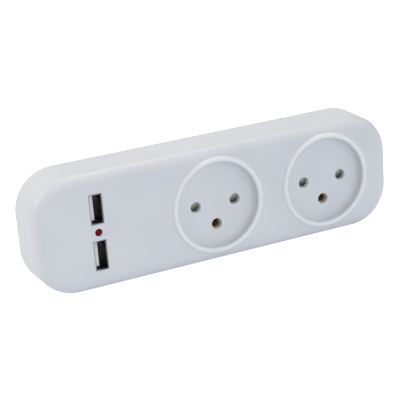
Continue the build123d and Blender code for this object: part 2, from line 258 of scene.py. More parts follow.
def quarter_turns(steps):
    """Angles from nought to a right angle."""
    return [math.pi / 2 * step / steps for step in range(steps + 1)]


def quarter_round(radius, steps=5):
    """A rounding from upright to flat: steps of how far out, and how far short of the flat."""
    turns = quarter_turns(steps)
    return [(radius - radius * math.cos(turn), radius - radius * math.sin(turn)) for turn in turns]


def circle(bm, x, z, radius, level, count=socket_steps):
    """A ring of vertices whose depth is a function of the place."""
    turns = [2 * math.pi * step / count for step in range(count)]
    points = [(x + radius * math.cos(turn), z + radius * math.sin(turn)) for turn in turns]
    return [bm.verts.new((px, level(px, pz), pz)) for px, pz in points]


def bead_profile():
    """Across the bead from its foot on the face to the recess: radius, and height above the face."""
    half = bead_width / 2
    middle = recess_radius + half
    turns = [bead_start + (math.pi - bead_start) * step / bead_steps for step in range(bead_steps + 1)]
    crest = [(middle + half * math.cos(turn), bead_height * math.sin(turn)) for turn in turns]
    crest_x, crest_rise = crest[0]
    foot_x = middle + half + bead_foot
    bend_x = crest_x + crest_rise * half * math.tan(bead_start) / bead_height
    foot = []
    for step in range(foot_steps):
        share = step / foot_steps
        foot.append(((1 - share) ** 2 * foot_x + 2 * share * (1 - share) * bend_x + share ** 2 * crest_x,
                     share ** 2 * crest_rise))
    return foot + crest


def lay_socket(bm, x, hole_rings, face_level):
    """The bead, wall and floor of one recess. Gives the bead's foot, for the face to meet."""
    profile = bead_profile()
    foot_radius = profile[0][0]
    crest_radius = recess_radius + bead_width / 2

    def level(rise, radius):
        share = max(radius - crest_radius, 0) / (foot_radius - crest_radius)
        stretch = foot_radius / radius

        def at(px, pz):
            drop = face_level(x + (px - x) * stretch, pz * stretch) - face_y
            return face_y - rise + share * drop
        return at

    walls = [(recess_radius - out, short - recess_depth) for out, short in quarter_round(recess_corner)]
    rings = [circle(bm, x, 0, radius, level(rise, radius)) for radius, rise in profile + walls]
    # Painted highlight: the bead's colour is lightest on its crest and fades towards its foot and the recess.
    painted_highlight = bm.verts.layers.float["painted_highlight"]
    # Painted shade: darkest on the ring where the recess wall begins, fading down the wall.
    painted_shade = bm.verts.layers.float["painted_shade"]
    for (radius, rise), ring in zip(profile + walls, rings):
        for vert in ring:
            vert[painted_highlight] = math.sqrt(max(rise, 0) / bead_height)
            vert[painted_shade] = float(ring is rings[len(profile) - 1])
    loft(bm, rings)
    patch(bm, rings[-1], hole_rings)
    return rings[0]


def lay_front():
    """The front housing: the inside of the solid, and a new outer skin from the parting line to the holes."""
    bm = solid_copy("front_housing")
    bm.verts.layers.float.new("painted_highlight")
    bm.verts.layers.float.new("painted_shade")
    hole_back_y = floor_y + recess_floor
    window_back_y = face_y + wall
    peel(bm, face_y, (parting_y, hole_back_y, window_back_y))
    depth = parting_y - face_y

    def face_level(x, z):
        inset = outline_side(x - body_x, z, half_length, half_height, corner_radius)[2]
        return parting_y - edge_rise(inset, depth, front_edge)

    holes = []
    face_holes = []
    for rim in open_rims(bm):
        y = rim[0].co.y
        if abs(y - parting_y) < same_place:
            ways = true_rim(rim, corner_radius)
            profile = edge_profile(depth, front_edge, edge_patch)
            face_rim = carry_on(bm, rim, ways, [(-inset, parting_y - high) for inset, high in profile])
            rounds = [(vert.co.x, vert.co.z, way) for vert, way in zip(rim, ways)]
        elif abs(y - hole_back_y) < same_place:
            steps = [(out, floor_y + short) for out, short in quarter_round(hole_easing)]
            holes.append(carry_on(bm, rim, true_rim(rim), steps))
        else:
            is_window = max(vert.co.z for vert in rim) - min(vert.co.z for vert in rim) > 2 * wall
            easing = window_easing if is_window else lens_hole_easing
            steps = [(out, face_y + short) for out, short in quarter_round(easing)]
            face_holes.append(carry_on(bm, rim, true_rim(rim, window_corner if is_window else None), steps))
    for x in socket_x:
        own = [hole for hole in holes if abs(hole[0].co.x - x) < recess_radius]
        face_holes.append(lay_socket(bm, x, own, face_level))
    clear_radius = face_holes[-1][0].co.x - socket_x[-1] + bead_foot

    def is_clear(x, z):
        return all(math.hypot(x - centre, z) > clear_radius for centre in socket_x)

    patch(bm, face_rim, face_holes, edge_rows(bm, rounds, face_insets, face_level, is_clear))
    return bm


def smooth(mesh):
    """Smooth faces with sharp creases. Normals that a copy took over from its solid are dropped first."""
    taken_over = mesh.attributes.get("custom_normal")
    if taken_over:
        mesh.attributes.remove(taken_over)
    mesh.shade_smooth()
    mesh.set_sharp_from_angle(angle=crease_angle)


def piece_from(bm, name, material):
    """A finished piece in metres."""
    bmesh.ops.recalc_face_normals(bm, faces=bm.faces)
    bm.transform(Matrix.Scale(mm, 4))
    mesh = bpy.data.meshes.new(name)
    bm.to_mesh(mesh)
    bm.free()
    smooth(mesh)
    mesh.materials.append(material)
    piece = bpy.data.objects.new(name, mesh)
    bpy.context.scene.collection.objects.link(piece)
    return piece


def add(tree, kind, values=None, **settings):
    """A node with its settings, and its sockets set or linked by name or number."""
    made = tree.nodes.new(kind)
    for key, value in settings.items():
        setattr(made, key, value)
    for key, value in (values or {}).items():
        if isinstance(value, bpy.types.NodeSocket):
            tree.links.new(value, made.inputs[key])
        else:
            made.inputs[key].default_value = value
    return made


def blend(tree, share, tone, other):
    """Two colours mixed. The node takes its colours at inputs 6 and 7 and gives the result at output 2."""
    return add(tree, "ShaderNodeMix", {"Factor": share, 6: tone, 7: other}, data_type="RGBA").outputs[2]


def tint(material, share, tone):
    """Mixes another tone into a material's colour."""
    tree = material.node_tree
    colour = tree.nodes["Principled BSDF"].inputs["Base Color"]
    tree.links.new(blend(tree, share, colour.links[0].from_socket, tone), colour)


def new_skin(name, fineness, kind):
    """An empty shader group for a skin: two tones, a fineness of some kind and a gloss go in."""
    group = bpy.data.node_groups.new(name, "ShaderNodeTree")
    for label, socket in (("Tone", "Color"), ("Shade", "Color"), (fineness, kind), ("Gloss", "Float")):
        group.interface.new_socket(label, in_out="INPUT", socket_type="NodeSocket" + socket)
    for label, socket in (("Colour", "Color"), ("Roughness", "Float"), ("Height", "Float")):
        group.interface.new_socket(label, in_out="OUTPUT", socket_type="NodeSocket" + socket)
    return group, group.nodes.new("NodeGroupInput"), group.nodes.new("NodeGroupOutput")


def end_skin(group, given, result, share, relief, spread):
    """Ends a skin: its tone goes over into its shade by the share, and the relief breaks up its gloss."""
    colour = blend(group, share, given.outputs["Tone"], given.outputs["Shade"])
    broken = add(group, "ShaderNodeMath", {0: relief, 1: spread}, operation="MULTIPLY").outputs[0]
    gloss = add(group, "ShaderNodeMath", {0: given.outputs["Gloss"], 1: broken}, operation="ADD").outputs[0]
    for label, value in (("Colour", colour), ("Roughness", gloss), ("Height", relief)):
        group.links.new(value, result.inputs[label])
    return group


def moulded_grain():
    """The fine grain of a spark-eroded mould, with slow drifts of tone across the piece."""
    group, given, result = new_skin("moulded_grain", "Grain", "Float")
    place = add(group, "ShaderNodeTexCoord").outputs["Object"]
    fine = add(group, "ShaderNodeTexNoise", {"Vector": place, "Scale": given.outputs["Grain"], "Detail": 3.0})
    slow = add(group, "ShaderNodeTexNoise", {"Vector": place, "Scale": grain_drift, "Detail": 2.0})
    drift = add(group, "ShaderNodeMapRange", {"Value": slow.outputs["Fac"], "From Min": 0.3, "From Max": 0.7})
    return end_skin(group, given, result, drift.outputs[0], fine.outputs["Fac"], grain_spread)


def skinned(name, group, values, depth, **shader):
    """A material whose colour, roughness and relief come from a skin. Depth is in millimetres."""
    material = bpy.data.materials.new(name)
    material.use_nodes = True
    tree = material.node_tree
    surface = tree.nodes["Principled BSDF"]
    skin = add(tree, "ShaderNodeGroup", values, node_tree=group)
    bump = add(tree, "ShaderNodeBump", {"Height": skin.outputs["Height"], "Distance": depth * mm})
    tree.links.new(skin.outputs["Colour"], surface.inputs["Base Color"])
    tree.links.new(skin.outputs["Roughness"], surface.inputs["Roughness"])
    tree.links.new(bump.outputs["Normal"], surface.inputs["Normal"])
    for label, value in shader.items():
        surface.inputs[label.replace("_", " ")].default_value = value
    return material


grain_skin = moulded_grain()


def moulded_plastic(name, tone, shade, grain=2600.0, gloss=0.3, depth=0.006, **shader):
    """Plastic from a mould, with its grain given per metre and the grain's depth in millimetres."""
    values = {"Tone": tone, "Shade": shade, "Grain": grain, "Gloss": gloss}
    return skinned(name, grain_skin, values, depth, **shader)


def fit(piece, body, slot, *replaced):
    """Puts a finished piece on its body in place of its solids."""
    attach(piece, body)
    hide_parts(*replaced)


white_plastic = moulded_plastic("white_plastic", plastic_tone, plastic_shade)
# A painted highlight on the bead crests and a painted shade at the top of the recess walls are mixed into the
# colour.
for finish, tone in (("painted_highlight", painted_highlight_tone), ("painted_shade", painted_shade_tone)):
    painted_mask = add(white_plastic.node_tree, "ShaderNodeAttribute", attribute_name=finish)
    tint(white_plastic, painted_mask.outputs["Fac"], tone)
front = piece_from(lay_front(), "front_moulding", white_plastic)
fit(front, "housing", "housing", "front_housing")

# Safety shutters
# Behind each pair of live holes lies a grey moulded slider with two ramps, which a plug's pins push up.
# It runs in a frame on the back of the recess and is held there by a staked retainer plate.
shutter_easing = 0.2
flat_angle = math.radians(1)          # faces this near to one plane are joined before edges are eased
sharp_angle = math.radians(30)        # edges sharper than this are eased
shutter_tone = (0.5, 0.51, 0.41, 1)
shutter_shade = (0.45, 0.46, 0.37, 1)


def eased(name, width, steps=3):
    """A copy of a solid with its sharp edges rounded off."""
    bm = solid_copy(name)
    bmesh.ops.dissolve_limit(bm, angle_limit=flat_angle, verts=bm.verts, edges=bm.edges)
    sharp = [edge for edge in bm.edges if edge.calc_face_angle(0) > sharp_angle]
    bmesh.ops.bevel(bm, geom=sharp, offset=width, segments=steps, profile=0.5, affect="EDGES",
                    clamp_overlap=True)
    bmesh.ops.dissolve_degenerate(bm, dist=same_place, edges=bm.edges)
    return bm


def finish_solids(material, *names):
    """Gives solids that keep their own shape a finish."""
    for name in names:
        for slot in nodes[name].material_slots:
            slot.material = material


grey_plastic = moulded_plastic("grey_plastic", shutter_tone, shutter_shade, grain=1800.0, gloss=0.4)
for side in ("left", "right"):
    slider = piece_from(eased(side + "_shutter", shutter_easing), side + "_shutter_slider", grey_plastic)
    fit(slider, side + "_shutter", "inner_plastic", side + "_shutter")
finish_solids(grey_plastic, "left_shutter_retainer", "right_shutter_retainer")

# Shutter springs
# A leaf of spring steel over each slider, pressed into a trough with soft bends.
# Its crown pushes the slider down, and its two feet bear under the top of the frame.
leaf_sheet = 0.3
leaf_crown = 1.4
leaf_foot = 1.6
leaf_ease = 0.18         # share of each slope that is bend
leaf_steps = 60
steel_tone = (0.52, 0.53, 0.54, 1)
steel_shade = (0.4, 0.41, 0.43, 1)
steel_marks = (200.0, 4000.0, 4000.0)       # rolling marks per metre along each axis
metal_cloud = 160.0      # cloudy changes of a metal's tone, per metre
metal_spread = 0.2       # how much the marks break up the gloss


def metal_marks():
    """Fine marks along the way a metal was drawn or rolled, with cloudy changes of tone."""
    group, given, result = new_skin("worked_metal", "Marks", "Vector")
    place = add(group, "ShaderNodeTexCoord").outputs["Object"]
    along = add(group, "ShaderNodeMapping", {"Vector": place, "Scale": given.outputs["Marks"]})
    marks = add(group, "ShaderNodeTexNoise", {"Vector": along.outputs[0], "Scale": 1.0, "Detail": 4.0})
    cloud = add(group, "ShaderNodeTexNoise", {"Vector": place, "Scale": metal_cloud, "Detail": 3.0})
    both = {0: marks.outputs["Fac"], 1: cloud.outputs["Fac"]}
    clouded = add(group, "ShaderNodeMath", both, operation="MULTIPLY").outputs[0]
    share = add(group, "ShaderNodeMapRange", {"Value": clouded, "From Min": 0.1, "From Max": 0.45}).outputs[0]
    return end_skin(group, given, result, share, marks.outputs["Fac"], metal_spread)


metal_skin = metal_marks()


def worked_metal(name, tone, shade, marks, gloss, depth=0.002):
    """A metal with marks, given per metre along each axis, and their depth in millimetres."""
    values = {"Tone": tone, "Shade": shade, "Marks": marks, "Gloss": gloss}
    return skinned(name, metal_skin, values, depth, Metallic=1.0)


def bar(bm, rings):
    """A loft that is closed at both ends."""
    loft(bm, rings)
    bm.faces.new(rings[0])
    bm.faces.new(rings[-1])
    return bm


def leaf(name):
    """The leaf as a strip of constant sheet through soft bends."""
    low, high = box_of(name)
    middle_x = (low.x + high.x) / 2
    half_span = (high.x - low.x) / 2
    slope_end = half_span - leaf_foot
    crown_z = low.z + leaf_sheet / 2
    rise = high.z - low.z - leaf_sheet

    def height(x):
        share = min(max((abs(x) - leaf_crown) / (slope_end - leaf_crown), 0), 1)
        if share < leaf_ease:
            grown = share ** 2 / (2 * leaf_ease)
        elif share > 1 - leaf_ease:
            grown = 1 - leaf_ease - (1 - share) ** 2 / (2 * leaf_ease)
        else:
            grown = share - leaf_ease / 2
        return crown_z + rise * grown / (1 - leaf_ease)

    bm = bmesh.new()
    step = half_span / leaf_steps
    rings = []
    for place in range(-leaf_steps, leaf_steps + 1):
        x = place * step
        slope = math.atan2(height(x + step) - height(x - step), 2 * step)
        across = Vector((-math.sin(slope), 0, math.cos(slope))) * leaf_sheet / 2
        middle = Vector((middle_x + x, 0, height(x)))
        rings.append([bm.verts.new(middle + side * across + Vector((0, y, 0)))
                      for side, y in ((-1, low.y), (-1, high.y), (1, high.y), (1, low.y))])
    return bar(bm, rings)


spring_steel = worked_metal("spring_steel", steel_tone, steel_shade, steel_marks, gloss=0.22)
for side in ("left", "right"):
    node = side + "_shutter_spring"
    spring = piece_from(leaf(node), side + "_leaf_spring", spring_steel)
    fit(spring, "housing", "steel", node)
    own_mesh(spring)

# USB port shells
# Each port is a box folded from tinned steel sheet, open at the front, behind its window in the face.
# Two spring leaves are pressed in from each broad wall and one from each narrow wall, to grip a plug.
shell_sheet = 0.3
shell_corner = 0.5
corner_steps = 4
shell_flare = 0.08       # the mouth opens outwards by this
flare_length = 0.4
leaf_mouth = 1.5         # mouth to the tips of the leaves
leaf_length = 5.0
leaf_slot = 0.3
leaf_press = 0.45
leaf_sweep = math.pi * 0.85           # the part of a sine that a leaf follows from root to tip
press_steps = 8
line_spare = 0.01        # a line of the sheet this near to a leaf or slot bounds it
broad_leaves = ((-3.0, 1.2), (3.0, 1.2))     # middle along the wall, and half width
narrow_leaves = ((0.0, 0.8),)
port_names = ("upper", "lower")
# The tin is painted dark all over as painted shade for the inside of the ports.
dark_painted_tin_tone = (0.14, 0.14, 0.145, 1)
dark_painted_tin_shade = (0.11, 0.11, 0.115, 1)
mouth_painted_light_tone = (0.42, 0.42, 0.44, 1)       # painted light: lighter tin round the mouth
mouth_light_depth = 2.2
mouth_light_falloff = 2.0
tin_marks = (2500.0, 300.0, 2500.0)


def wall_stations(half, leaves):
    """Places along a wall where the sheet has a line: its two ends, and both sides of each slot."""
    stations = [-half, half]
    for middle, width in leaves:
        stations += [middle - width - leaf_slot, middle - width, middle + width, middle + width + leaf_slot]
    return sorted(stations)


def shell_section(half_x, half_z):
    """Round the shell from wall to wall: place, way out, and the leaves that the place may belong to."""
    section = []
    walls = ((half_x, half_z - shell_corner, broad_leaves), (half_z, half_x - shell_corner, narrow_leaves))
    for quarter, (reach, half, leaves) in enumerate(walls * 2):
        turn = quarter * math.pi / 2
        out = Vector((math.cos(turn), math.sin(turn)))
        along = Vector((-out.y, out.x))
        for place in wall_stations(half, leaves):
            section.append((out * reach + along * place, out, place, leaves))
        corner = out * (reach - shell_corner) + along * half
        for step in range(1, corner_steps):
            bend = turn + math.pi / 2 * step / corner_steps
            way = Vector((math.cos(bend), math.sin(bend)))
            section.append((corner + way * shell_corner, way, None, ()))
    return section


def port_shell(half_x, half_z, length):
    """The folded sheet's outer side, with its mouth at y = 0, and its leaves cut free and pressed in."""
    bm = bmesh.new()
    root = leaf_mouth + leaf_length
    depths = [0.0, flare_length, leaf_mouth - leaf_slot]
    depths += [leaf_mouth + leaf_length * step / press_steps for step in range(press_steps + 1)]
    depths += [length]
    section = shell_section(half_x, half_z)

    def in_leaf(place, leaves, margin=0.0):
        reach = margin + line_spare
        return place is not None and any(abs(place - middle) < width + reach for middle, width in leaves)

    def in_slot(place, next_place, y, leaves):
        if place is None or next_place is None:
            return False
        if not leaf_mouth - leaf_slot - line_spare < y < root - line_spare:
            return False
        middle = (place + next_place) / 2
        before_tip = y < leaf_mouth - line_spare
        return in_leaf(middle, leaves, leaf_slot) and (before_tip or not in_leaf(middle, leaves))

    rows = []
    for y in depths:
        row = []
        for point, out, place, leaves in section:
            moved = out * (shell_flare if y == 0 else 0.0)
            if leaf_mouth - line_spare < y < root and in_leaf(place, leaves):
                moved = -out * leaf_press * math.sin(leaf_sweep * (root - y) / leaf_length)
            row.append(bm.verts.new((point.x + moved.x, y, point.y + moved.y)))
        rows.append(row)
    for near, far, y in zip(rows, rows[1:], depths):
        for step, (point, out, place, leaves) in enumerate(section):
            after = (step + 1) % len(section)
            if not in_slot(place, section[after][2], y, leaves):
                bm.faces.new((near[step], near[after], far[after], far[step]))
    return bm


def new_tree(name, inputs):
    """An empty geometry tree with named inputs and one output."""
    tree = bpy.data.node_groups.new(name, "GeometryNodeTree")
    for label, kind in inputs:
        tree.interface.new_socket(label, in_out="INPUT", socket_type="NodeSocket" + kind)
    tree.interface.new_socket("Pieces", in_out="OUTPUT", socket_type="NodeSocketGeometry")
    return tree, tree.nodes.new("NodeGroupInput"), tree.nodes.new("NodeGroupOutput")


def copy_out(tree, given, result, places, pattern):
    """Ends a geometry tree: the pattern at every place, as one real mesh with its finish."""
    copies = add(tree, "GeometryNodeInstanceOnPoints", {"Points": places, "Instance": pattern}).outputs[0]
    real = add(tree, "GeometryNodeRealizeInstances", {"Geometry": copies}).outputs[0]
    finish = {"Geometry": real, "Material": given.outputs["Finish"]}
    tree.links.new(add(tree, "GeometryNodeSetMaterial", finish).outputs[0], result.inputs["Pieces"])


def set_out_tree():
    """A pattern object copied to every point of a mesh."""
    inputs = (("Places", "Geometry"), ("Pattern", "Object"), ("Finish", "Material"))
    tree, given, result = new_tree("set_out", inputs)
    pattern = add(tree, "GeometryNodeObjectInfo", {"Object": given.outputs["Pattern"]})
    copy_out(tree, given, result, given.outputs["Places"], pattern.outputs["Geometry"])
    return tree


copy_tree = set_out_tree()


def grow(name, mesh, tree, **values):
    """Runs a geometry tree on a mesh and gives the result as an object with a plain mesh."""
    piece = bpy.data.objects.new(name, mesh)
    bpy.context.scene.collection.objects.link(piece)
    modifier = piece.modifiers.new(tree.name, "NODES")
    modifier.node_group = tree
    for socket in tree.interface.items_tree:
        label = socket.name.replace(" ", "_")
        if socket.in_out == "INPUT" and label in values:
            modifier[socket.identifier] = values[label]
    evaluated = piece.evaluated_get(bpy.context.evaluated_depsgraph_get())
    plain = bpy.data.meshes.new_from_object(evaluated)
    smooth(plain)
    piece.modifiers.remove(modifier)
    piece.data = plain
    plain.name = name
    return piece


def set_out(name, pattern, places, material):
    """One piece with a copy of the pattern at each place, given in millimetres."""
    points = bpy.data.meshes.new(name + "_places")
    points.from_pydata([Vector(place) * mm for place in places], [], [])
    piece = grow(name, points, copy_tree, Pattern=pattern, Finish=material)
    bpy.data.objects.remove(pattern)
    return piece


# Painted shade: dark tin throughout. Painted light: lighter over the last millimetres towards the mouth.
tinned_steel = worked_metal("tinned_steel", dark_painted_tin_tone, dark_painted_tin_shade, tin_marks, gloss=0.25)
port_boxes = [box_of(port + "_usb_shell") for port in port_names]
port_low, port_high = port_boxes[0]
tin_tree = tinned_steel.node_tree
tin_place = add(tin_tree, "ShaderNodeTexCoord").outputs["Object"]
tin_depth = add(tin_tree, "ShaderNodeSeparateXYZ", {"Vector": tin_place}).outputs["Y"]
mouth_light_range = {"Value": tin_depth, "From Min": (port_low.y + mouth_light_depth) * mm, "From Max": port_low.y * mm}
mouth_light_share = add(tin_tree, "ShaderNodeMapRange", mouth_light_range).outputs[0]
mouth_painted_light = add(tin_tree, "ShaderNodeMath", {0: mouth_light_share, 1: mouth_light_falloff}, operation="POWER").outputs[0]
tint(tinned_steel, mouth_painted_light, mouth_painted_light_tone)
port_size = port_high - port_low
shell_form = port_shell(port_size.x / 2, port_size.z / 2, port_size.y)
shell_pattern = piece_from(shell_form, "shell_pattern", tinned_steel)
thickness = shell_pattern.modifiers.new("sheet", "SOLIDIFY")
thickness.thickness = shell_sheet * mm
thickness.offset = -1
thickness.use_even_offset = True
shell_places = [((low.x + high.x) / 2, low.y, (low.z + high.z) / 2) for low, high in port_boxes]
shells = set_out("port_shells", shell_pattern, shell_places, tinned_steel)
fit(shells, "housing", "steel", "upper_usb_shell", "lower_usb_shell")

# USB tongues and contacts
# A white moulded block closes the back of each port and carries the tongue, with eased edges at its tip.
# Four gold-plated contacts lie along the tongue's inner side, sprung up a little before they dip at the tip.
tongue_easing = 0.22
contact_width = 1.0
contact_sheet = 0.2
contact_lift = 0.12
contact_dip = 0.15
contact_rise = 0.3       # share of its length from the root to where it lifts
contact_tip = 0.85       # share of its length from the root to where it dips
contact_inner = 2 / 7    # how far out the inner contacts lie, as a share of the outer ones
contact_steps = 16
tongue_tone = (0.95, 0.95, 0.94, 1)
tongue_shade = (0.91, 0.91, 0.9, 1)
gold_tone = (0.83, 0.6, 0.22, 1)
gold_shade = (0.7, 0.47, 0.16, 1)
gold_marks = (3000.0, 300.0, 3000.0)

tongue_plastic = moulded_plastic("tongue_plastic", tongue_tone, tongue_shade, grain=3500.0, gloss=0.35)
for port in port_names:
    tongue = piece_from(eased(port + "_usb_insulator", tongue_easing), port + "_port_tongue", tongue_plastic)
    fit(tongue, "housing", "port_plastic", port + "_usb_insulator")


def contact_strip(length):
    """One contact from its root at y = 0 towards the mouth, lying on the plane x = 0."""
    bm = bmesh.new()
    rings = []
    for step in range(contact_steps + 1):
        share = step / contact_steps
        sprung = contact_lift * math.sin(math.pi * max(share - contact_rise, 0) / (1 - contact_rise))
        low = sprung - contact_dip * max(share - contact_tip, 0) / (1 - contact_tip)
        rings.append([bm.verts.new((low + x, -length * share, z * contact_width / 2))
                      for x, z in ((0, -1), (0, 1), (contact_sheet, 1), (contact_sheet, -1))])
    return bar(bm, rings)


gold_plate = worked_metal("gold_plate", gold_tone, gold_shade, gold_marks, gloss=0.18)
contact_low, contact_high = box_of("upper_usb_contacts")
contact_pattern = piece_from(contact_strip(contact_high.y - contact_low.y), "contact_pattern", gold_plate)
contact_reach = (contact_high.z - contact_low.z - contact_width) / 2
contact_offsets = [share * contact_reach for share in (-1, -contact_inner, contact_inner, 1)]
contact_places = [(contact_low.x, contact_high.y, shell_place[2] + offset)
                  for shell_place in shell_places for offset in contact_offsets]
contacts = set_out("port_contacts", contact_pattern, contact_places, gold_plate)
fit(contacts, "housing", "port_contact", "upper_usb_contacts", "lower_usb_contacts")

# Indicator
# A red diode with a domed lens stands in its hole between the ports, held by its flange behind the face.
# Two tinned leads run from it to the circuit board.
lens_radius = 1.5
flange_radius = 1.9
flange_height = 1.0
lens_steps = 48
dome_steps = 12
lens_tone = (0.08, 0.0005, 0.001, 1)
lens_shade = (0.06, 0.0004, 0.0008, 1)
lens_painted_highlight_tone = (0.31, 0.005, 0.009, 1)   # painted highlight on the dome's upper left
lens_highlight_place = (-0.7, 0.55)             # its middle from the lens's axis, along x and z
lens_highlight_reach = 1.9


def flat_ring(bm, radius, y, count=socket_steps):
    """A ring of vertices round the y axis at one depth."""
    return circle(bm, 0, 0, radius, lambda x, z: y, count)


def turned(profile, count):
    """A turned form about the y axis. The profile runs from pole to pole: radius and depth."""
    bm = bmesh.new()
    rings = [flat_ring(bm, radius, y, count) for radius, y in profile[1:-1]]
    loft(bm, rings)
    for (radius, y), ring in ((profile[0], rings[0]), (profile[-1], rings[-1])):
        pole = bm.verts.new((0, y, 0))
        for step in range(count):
            bm.faces.new((pole, ring[step], ring[(step + 1) % count]))
    return bm


lens_low, lens_high = box_of("indicator_lens")
lens_middle = (lens_low + lens_high) / 2
dome_y = lens_low.y + lens_radius
flange_y = lens_high.y - flange_height
lens_profile = [(0, lens_high.y), (flange_radius, lens_high.y), (flange_radius, flange_y),
                (lens_radius, flange_y), (lens_radius, dome_y)]
lens_profile += [(lens_radius * math.cos(turn), dome_y - lens_radius * math.sin(turn))
                 for turn in quarter_turns(dome_steps)[1:]]
lens_form = turned(lens_profile, lens_steps)
bmesh.ops.translate(lens_form, verts=lens_form.verts, vec=(lens_middle.x, 0, lens_middle.z))
red_lens = moulded_plastic("red_lens", lens_tone, lens_shade, grain=900.0, gloss=0.05, depth=0.001,
                           Specular_IOR_Level=0.06)
# Painted highlight: the lens is lighter in a round spot at its upper left, fading into the dark red.
lens_tree = red_lens.node_tree
lens_place = add(lens_tree, "ShaderNodeTexCoord").outputs["Object"]
lens_highlight_middle = Vector((lens_middle.x + lens_highlight_place[0], lens_low.y, lens_middle.z + lens_highlight_place[1])) * mm
lens_highlight_frame = {"Vector": lens_place, "Location": lens_highlight_middle, "Scale": [lens_highlight_reach * mm] * 3}
lens_highlight_way = add(lens_tree, "ShaderNodeMapping", lens_highlight_frame, vector_type="TEXTURE").outputs[0]
glow = add(lens_tree, "ShaderNodeTexGradient", {"Vector": lens_highlight_way}, gradient_type="SPHERICAL")
tint(red_lens, glow.outputs["Fac"], lens_painted_highlight_tone)
indicator = piece_from(lens_form, "indicator_dome", red_lens)
fit(indicator, "housing", "lens", "indicator_lens")
# The leads take the same tin, with its painted shade.
finish_solids(tinned_steel, "indicator_leads")

# Charger board
# A green board on edge beside the ports carries the charger: transformer, capacitors, rectifier, chip, fuse.
# Ground and moulded blocks have eased edges. The capacitors are crimped cans in a shrunk sleeve.
core_easing = 0.4
winding_easing = 0.3
resin_easing = 0.3
can_crimp = 1.6          # from the board to the middle of the crimp
can_crimp_half = 0.7
can_crimp_depth = 0.4
can_crimp_steps = 12
can_round = 0.6
can_lip = 1.0            # from a can's side to the inner edge of its sleeve
can_lid = 0.15           # how far the bare lid lies below the sleeve
can_steps = 48
board_tone = (0.03, 0.16, 0.07, 1)
board_shade = (0.02, 0.11, 0.05, 1)
ferrite_tone = (0.045, 0.045, 0.05, 1)
ferrite_shade = (0.03, 0.03, 0.032, 1)
tape_tone = (0.75, 0.5, 0.06, 1)
tape_shade = (0.66, 0.42, 0.05, 1)
sleeve_tone = (0.03, 0.035, 0.06, 1)
sleeve_shade = (0.02, 0.024, 0.045, 1)
resin_tone = (0.03, 0.03, 0.03, 1)
resin_shade = (0.022, 0.022, 0.022, 1)


def crimped_can(radius, length):
    """A can whose foot is at x = 0: crimped near it, with a sleeve turned over the edge of the lid."""
    rounding = quarter_round(can_round)
    profile = [(0, 0)] + [(radius - out, short) for out, short in reversed(rounding)]
    for step in range(can_crimp_steps + 1):
        turn = 2 * math.pi * step / can_crimp_steps
        profile.append((radius - can_crimp_depth * (1 - math.cos(turn)) / 2,
                        can_crimp + can_crimp_half * (turn / math.pi - 1)))
    profile += [(radius - out, length - short) for out, short in rounding]
    lid = length - can_lid
    bm = turned(profile + [(radius - can_lip, length), (radius - can_lip, lid), (0, lid)], can_steps)
    bm.transform(Matrix.Rotation(-math.pi / 2, 4, "Z"))
    return bm


board_resin = moulded_plastic("board_resin", board_tone, board_shade, grain=1500.0)
ferrite = moulded_plastic("ferrite", ferrite_tone, ferrite_shade, grain=5000.0, gloss=0.55)
yellow_tape = moulded_plastic("yellow_tape", tape_tone, tape_shade, grain=700.0, gloss=0.25)
can_sleeve = moulded_plastic("can_sleeve", sleeve_tone, sleeve_shade, grain=600.0, gloss=0.2)
chip_resin = moulded_plastic("chip_resin", resin_tone, resin_shade, grain=6000.0, gloss=0.5)
finish_solids(board_resin, "circuit_board")
for node, name, easing, material, slot in (
        ("transformer_core", "ferrite_core", core_easing, ferrite, "ferrite"),
        ("transformer_winding", "taped_winding", winding_easing, yellow_tape, "tape"),
        ("bridge_rectifier", "rectifier_block", resin_easing, chip_resin, "component_body"),
        ("controller_chip", "chip_block", resin_easing, chip_resin, "component_body"),
        ("line_fuse", "fuse_block", resin_easing, chip_resin, "component_body")):
    fit(piece_from(eased(node, easing), name, material), "housing", slot, node)
for node, name, count in (("bulk_capacitor", "bulk_can", 1), ("output_capacitors", "output_cans", 2)):
    can_low, can_high = box_of(node)
    can_radius = (can_high.z - can_low.z) / 2
    can_form = crimped_can(can_radius, can_high.x - can_low.x)
    can_rows = (can_low.y + can_radius, can_high.y - can_radius)[:count]
    can_places = [(can_low.x, y, can_low.z + can_radius) for y in can_rows]
    cans = set_out(name, piece_from(can_form, "can_pattern", can_sleeve), can_places, can_sleeve)
    fit(cans, "housing", "capacitor_sleeve", node)

# Brass bars and leads
# Three brass strips on edge join the sockets: each is rolled into a split sleeve behind every pin hole.
# A brown and a blue lead, soldered along two of the strips, feed the board.
brass_tone = (0.8, 0.7, 0.38, 1)
brass_shade = (0.68, 0.59, 0.3, 1)
brass_marks = (250.0, 3500.0, 3500.0)
brown_tone = (0.12, 0.05, 0.02, 1)
brown_shade = (0.09, 0.035, 0.015, 1)
blue_tone = (0.03, 0.11, 0.4, 1)
blue_shade = (0.02, 0.08, 0.32, 1)

brass = worked_metal("brass", brass_tone, brass_shade, brass_marks, gloss=0.42)
brown_lead = moulded_plastic("brown_insulation", brown_tone, brown_shade, grain=1200.0)
blue_lead = moulded_plastic("blue_insulation", blue_tone, blue_shade, grain=1200.0)
finish_solids(brass, "neutral_bar", "line_bar", "earth_bar")
finish_solids(brown_lead, "line_lead")
finish_solids(blue_lead, "neutral_lead")

# Plug pins
# Three round pins turned from brass and nickel plated, with rounded tips, stand on the boss at the back.
# A thinner neck passes through the boss, which ends at y = 0. A collar inside is welded to the bar's tab.
pin_names = ("neutral", "line", "earth")
pin_easing = 0.125
neck_radius = 1.7
collar_radius = 3.2
collar_height = 1.2
tip_flat = 0.9
tip_length = 1.3
tip_steps = 10
pin_steps = 64
nickel_tone = (0.66, 0.64, 0.6, 1)
nickel_shade = (0.55, 0.53, 0.49, 1)
nickel_marks = (900.0, 5000.0, 900.0)

